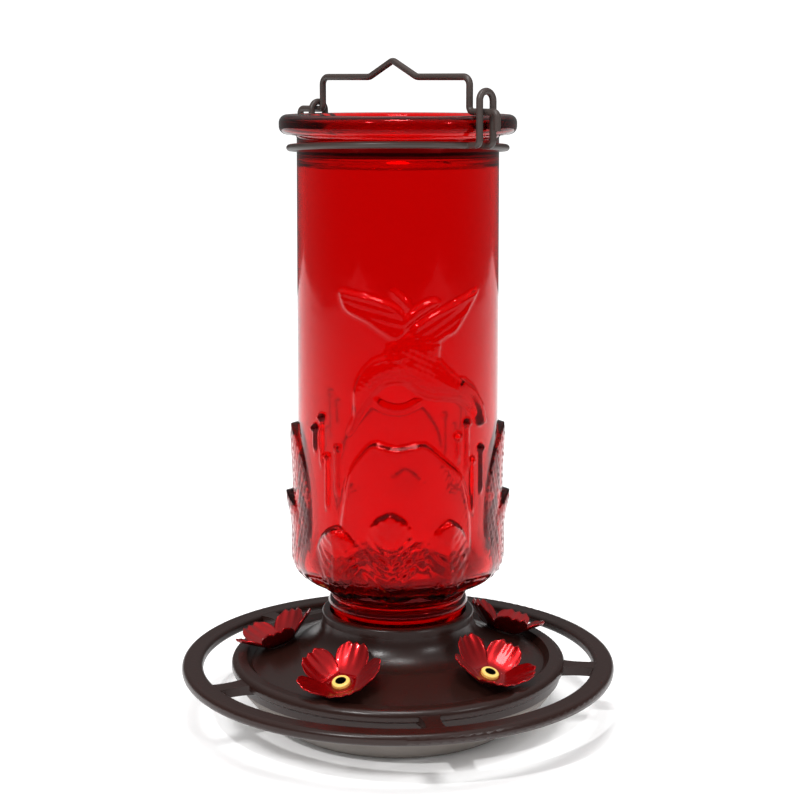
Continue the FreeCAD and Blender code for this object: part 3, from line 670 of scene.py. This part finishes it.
class FEEDER_OT_flowers(bpy.types.Operator):
    """Press the ribbed petals and set a flower with its port at each opening"""
    bl_idname = "feeder.flowers"
    bl_label = "Flowers and ports"

    def execute(self, context):
        size = context.scene.feeder_flowers
        red = petal_look(tuple(size.red))
        for number in range(size.count):
            mesh = self.middle(size)
            for petal in range(size.petals):
                joined(mesh, self.petal(size, number, petal))
            turn = Matrix.Rotation(size.first + number * math.tau / size.count, 4, "Z")
            place = turn @ Matrix.Translation((size.reach, 0, size.seat)) \
                @ Matrix.Rotation(size.tilt, 4, "Y")
            bmesh.ops.transform(mesh, matrix=place, verts=mesh.verts[:])
            finished(mesh, "petals_%d" % (number + 1), "cover", "flower", red,
                     "flower_%d" % (number + 1))
            middle = place @ Vector((0.0, 0.0, 0.0))
            axis = (place @ Vector((0.0, 0.0, 1.0)) - middle).normalized()
            repaint("port_%d" % (number + 1),
                    port_look(number + 1, tuple(size.yellow), middle, axis))
        return {"FINISHED"}

    def petal(self, size, flower, petal):
        """One wavy petal: narrow at the middle, ribbed, with a scalloped end."""
        mesh = bmesh.new()
        cuts = 22
        grid = bmesh.ops.create_grid(mesh, x_segments=cuts, y_segments=cuts, size=1.0)["verts"]
        shift = noise.noise(Vector((flower * 3.1, petal * 1.7, 0.4)))
        inner, outer = 4.3, size.radius / MM
        for vert in grid:
            u, v = vert.co.y, (vert.co.x + 1.0) / 2.0
            end = outer - 3.6 * u ** 4 + 0.22 * math.cos(u * 9.0 * math.pi / 2) * v
            reach = inner + (end - inner) * v
            half = 2.7 + 4.5 * math.sin(math.pi * (0.06 + 0.60 * v)) ** 0.9
            rise = max(0.0, (reach - WASHER) / (outer - WASHER))
            height = size.rise / MM * (1.0 + 0.10 * shift) * rise ** 1.35
            ribs = 0.26 * math.cos(u * 3.6 * math.pi) * v * v
            curl = (1.9 + 0.6 * shift) * u * u * v - 0.7 * v ** 4
            wave = 0.5 * shift * math.sin(u * 3.0 + petal) * v * v
            layer = 0.05 * petal
            vert.co = Vector((reach, half * u, height + ribs + curl + wave + layer)) * MM
        bmesh.ops.solidify(mesh, geom=mesh.faces[:], thickness=-size.sheet)
        bmesh.ops.recalc_face_normals(mesh, faces=mesh.faces[:])
        turn = Matrix.Rotation((petal + 0.5) * math.tau / size.petals, 4, "Z")
        bmesh.ops.transform(mesh, matrix=turn, verts=mesh.verts[:])
        return mesh

    def middle(self, size):
        """Washer under the port's rim that joins the petals."""
        ring = bmesh.new()
        outer, top, rounding = WASHER * MM, WASHER_HEIGHT * MM, 0.2 * MM
        profile(ring, [(size.hole, 0.0, 0.0), (outer, 0.0, rounding),
                       (outer, top, rounding), (size.hole, top, 0.0)])
        ends = [vert for vert in ring.verts if len(vert.link_edges) == 1]
        ring.edges.new(ends)
        turned(ring, 48)
        return ring


# Base and wire.


class FEEDER_OT_base(bpy.types.Operator):
    """Finish the cover with its perch, the tray and the gaskets"""
    bl_idname = "feeder.base"
    bl_label = "Base"

    def execute(self, context):
        paint = context.scene.feeder_base
        repaint("base_cover", satin_look("satin_bronze", tuple(paint.bronze), 0.29))
        repaint("base_tray", satin_look("satin_tray", tuple(paint.grey), 0.42))
        rubber = satin_look("gasket_rubber", tuple(paint.rubber), 0.6, 2.0)
        repaint("tray_gasket", rubber)
        repaint("bottle_gasket", rubber)
        return {"FINISHED"}


class FEEDER_OT_hanger(bpy.types.Operator):
    """Finish the wire collar and the bail"""
    bl_idname = "feeder.hanger"
    bl_label = "Wire hanger"

    def execute(self, context):
        wire = satin_look("satin_wire", tuple(context.scene.feeder_base.wire), 0.38, 0.6)
        repaint("wire_collar", wire)
        repaint("hanger_bail", wire)
        return {"FINISHED"}


# Floor, lights and camera.

# Name, place, size of the disc and aim in metres, power in watts.
LIGHTS = (
    ("key_light", (-0.50, -0.85, 1.00), 0.05, (0.0, 0.0, 0.12), 8.0),
    ("fill_light", (0.80, -0.65, 0.70), 0.05, (0.0, 0.0, 0.12), 2.0),
    ("top_light", (0.0, -0.34, 1.10), 0.30, (0.0, 0.0, 0.05), 5.5),
)


class FEEDER_OT_stage(bpy.types.Operator):
    """Set out the floor, the soft lights and the camera"""
    bl_idname = "feeder.stage"
    bl_label = "Floor, lights and camera"

    def execute(self, context):
        stage = context.scene.feeder_stage
        self.add_floor(stage)
        self.add_sky(context, stage)
        for light in LIGHTS:
            self.add_light(*light)
        self.add_camera(context, stage)
        context.scene.view_settings.view_transform = "Standard"
        return {"FINISHED"}

    def add_floor(self, stage):
        """Floor that is wide enough to have no edge in the picture."""
        mesh = bmesh.new()
        bmesh.ops.create_grid(mesh, x_segments=4, y_segments=4, size=1.4)
        data = bpy.data.meshes.new("floor")
        mesh.to_mesh(data)
        mesh.free()
        floor = bpy.data.objects.new("floor", data)
        bpy.context.scene.collection.objects.link(floor)
        data.materials.append(Look("pale_floor", Base_Color=(*stage.floor, 1.0),
                                   Roughness=0.9).material)

    def add_sky(self, context, stage):
        """White room behind the glass, and a dimmer one with a bright top for mirrored rays."""
        world = bpy.data.worlds.new("soft_white")
        world.use_nodes = True
        tree = world.node_tree
        seen = tree.nodes["Background"]
        seen.inputs["Color"].default_value = (1, 1, 1, 1)
        seen.inputs["Strength"].default_value = stage.sky
        room = tree.nodes.new("ShaderNodeBackground")
        room.inputs["Strength"].default_value = 1.0
        towards = tree.nodes.new("ShaderNodeTexCoord")
        parts = tree.nodes.new("ShaderNodeSeparateXYZ")
        walls = tree.nodes.new("ShaderNodeMapRange")
        walls.inputs["From Min"].default_value = 0.35
        walls.inputs["From Max"].default_value = 0.95
        walls.inputs["To Min"].default_value = stage.walls
        walls.inputs["To Max"].default_value = stage.ceiling
        path = tree.nodes.new("ShaderNodeLightPath")
        mix = tree.nodes.new("ShaderNodeMixShader")
        tree.links.new(towards.outputs["Generated"], parts.inputs[0])
        tree.links.new(parts.outputs["Z"], walls.inputs["Value"])
        tree.links.new(walls.outputs["Result"], room.inputs["Color"])
        mirrored = tree.nodes.new("ShaderNodeMath")
        mirrored.operation = "GREATER_THAN"
        tree.links.new(path.outputs["Is Glossy Ray"], mirrored.inputs[0])
        tree.links.new(path.outputs["Is Transmission Ray"], mirrored.inputs[1])
        tree.links.new(mirrored.outputs[0], mix.inputs["Fac"])
        tree.links.new(seen.outputs[0], mix.inputs[1])
        tree.links.new(room.outputs[0], mix.inputs[2])
        tree.links.new(mix.outputs[0], tree.nodes["World Output"].inputs["Surface"])
        context.scene.world = world

    def add_light(self, name, place, size, aim, power):
        data = bpy.data.lights.new(name, "AREA")
        data.shape = "DISK"
        data.size = size
        data.energy = power
        light = bpy.data.objects.new(name, data)
        light.location = place
        light.rotation_euler = (Vector(aim) - Vector(place)).to_track_quat("-Z", "Y").to_euler()
        bpy.context.scene.collection.objects.link(light)

    def add_camera(self, context, stage):
        data = bpy.data.cameras.new("front_camera")
        data.lens = stage.lens
        data.sensor_width = 36.0
        data.shift_x = 0.0026
        data.shift_y = -0.10
        data.clip_start = 0.01
        camera = bpy.data.objects.new("front_camera", data)
        camera.location = (0.0, -stage.distance, stage.height)
        camera.rotation_euler = (math.pi / 2 - stage.tilt, 0.0, 0.0)
        context.scene.collection.objects.link(camera)
        context.scene.camera = camera


class FEEDER_PT_panel(bpy.types.Panel):
    """Lists the feeder's pieces in the sidebar"""
    bl_label = "Nectar feeder"
    bl_idname = "FEEDER_PT_panel"
    bl_space_type = "VIEW_3D"
    bl_region_type = "UI"
    bl_category = "Feeder"

    def draw(self, context):
        for operator in OPERATORS:
            self.layout.operator(operator.bl_idname)


GROUPS = {
    "feeder_glass": FeederGlass,
    "feeder_flowers": FeederFlowers,
    "feeder_base": FeederBase,
    "feeder_stage": FeederStage,
}
OPERATORS = (FEEDER_OT_bottle, FEEDER_OT_flowers, FEEDER_OT_base, FEEDER_OT_hanger,
             FEEDER_OT_stage)
CLASSES = (*GROUPS.values(), *OPERATORS, FEEDER_PT_panel)


def register():
    for item in CLASSES:
        bpy.utils.register_class(item)
    for name, group in GROUPS.items():
        setattr(bpy.types.Scene, name, PointerProperty(type=group))


def unregister():
    for name in GROUPS:
        delattr(bpy.types.Scene, name)
    for item in reversed(CLASSES):
        bpy.utils.unregister_class(item)


def main():
    register()
    bpy.ops.feeder.bottle()
    bpy.ops.feeder.flowers()
    bpy.ops.feeder.base()
    bpy.ops.feeder.hanger()
    bpy.ops.feeder.stage()


if __name__ == "__main__":
    main()
